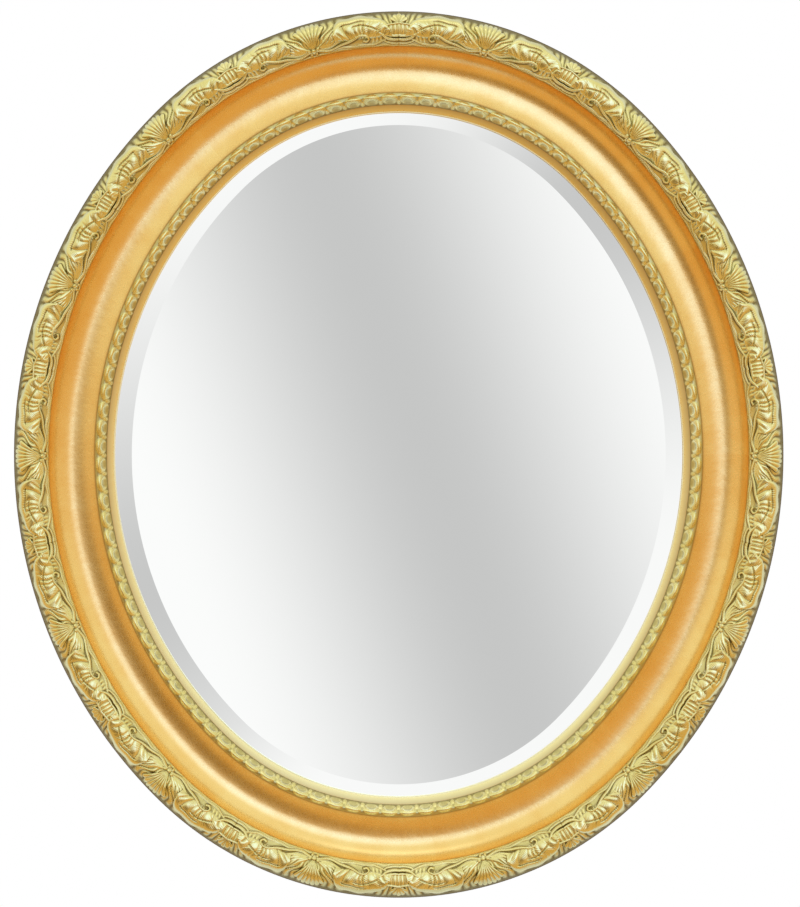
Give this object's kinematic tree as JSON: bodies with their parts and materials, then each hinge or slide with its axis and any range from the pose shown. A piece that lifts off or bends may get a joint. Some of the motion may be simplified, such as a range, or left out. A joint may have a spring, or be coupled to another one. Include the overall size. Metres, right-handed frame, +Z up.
{
  "type": "oval wall mirror",
  "caption": "Upright oval wall mirror: bevelled glass in a gilded baroque frame with a smooth cove, leaf edging and a carved shell-and-acanthus border.",
  "frame": {"origin": "middle of the oval, in the plane of the wall that the mirror hangs against", "axes": "X to the right and Z up as seen from the front; the glass faces -Y and the wall lies towards +Y"},
  "size_m": [0.658, 0.0472, 0.758],
  "materials": {
    "gilt_wood": "gold leaf on wood, satin",
    "gilt_ornament": "gold leaf on pressed composition",
    "mirror": "silvered glass with a bevelled edge",
    "hardboard": "raw hardboard",
    "bare_wood": "bare beech",
    "zinc_steel": "zinc plated",
    "brassed_steel": "brass plated",
    "felt": "brown felt"
  },
  "bodies": {
    "mirror": {"frame_right": "gilt_wood", "frame_top": "gilt_wood", "frame_left": "gilt_wood", "frame_bottom": "gilt_wood", "ornament_strip_1": "gilt_ornament", "ornament_strip_2": "gilt_ornament", "ornament_strip_3": "gilt_ornament", "ornament_strip_4": "gilt_ornament", "ornament_strip_5": "gilt_ornament", "ornament_strip_6": "gilt_ornament", "ornament_strip_7": "gilt_ornament", "leaf_edging_right": "gilt_ornament", "leaf_edging_top": "gilt_ornament", "leaf_edging_left": "gilt_ornament", "leaf_edging_bottom": "gilt_ornament", "mirror_glass": "mirror", "back_panel": "hardboard", "joint_splines": "bare_wood", "button_screws": "zinc_steel", "strap_screws": "zinc_steel", "hanger_strap": "brassed_steel", "wall_bumper_left": "felt", "wall_bumper_right": "felt"},
    "ring": {"d_ring": "brassed_steel"},
    "button_1": {"turn_button_1": "zinc_steel"},
    "button_2": {"turn_button_2": "zinc_steel"},
    "button_3": {"turn_button_3": "zinc_steel"},
    "button_4": {"turn_button_4": "zinc_steel"},
    "button_5": {"turn_button_5": "zinc_steel"},
    "button_6": {"turn_button_6": "zinc_steel"}
  },
  "joints": [
    {"name": "ring_swing", "type": "hinge", "parent": "mirror", "child": "ring", "pos_m": [0, -0.0032, 0.345], "axis": [-1, 0, 0], "range_deg": [0, 175]},
    {"name": "button_1_turn", "type": "hinge", "parent": "mirror", "child": "button_1", "pos_m": [0.2605, -0.0051, 0], "axis": [0, 1, 0], "continuous": true},
    {"name": "button_2_turn", "type": "hinge", "parent": "mirror", "child": "button_2", "pos_m": [0.12914, -0.0051, 0.26978], "axis": [0, 1, 0], "continuous": true},
    {"name": "button_3_turn", "type": "hinge", "parent": "mirror", "child": "button_3", "pos_m": [-0.12914, -0.0051, 0.26978], "axis": [0, 1, 0], "continuous": true},
    {"name": "button_4_turn", "type": "hinge", "parent": "mirror", "child": "button_4", "pos_m": [-0.2605, -0.0051, 0], "axis": [0, 1, 0], "continuous": true},
    {"name": "button_5_turn", "type": "hinge", "parent": "mirror", "child": "button_5", "pos_m": [-0.12914, -0.0051, -0.26978], "axis": [0, 1, 0], "continuous": true},
    {"name": "button_6_turn", "type": "hinge", "parent": "mirror", "child": "button_6", "pos_m": [0.12914, -0.0051, -0.26978], "axis": [0, 1, 0], "continuous": true}
  ]
}
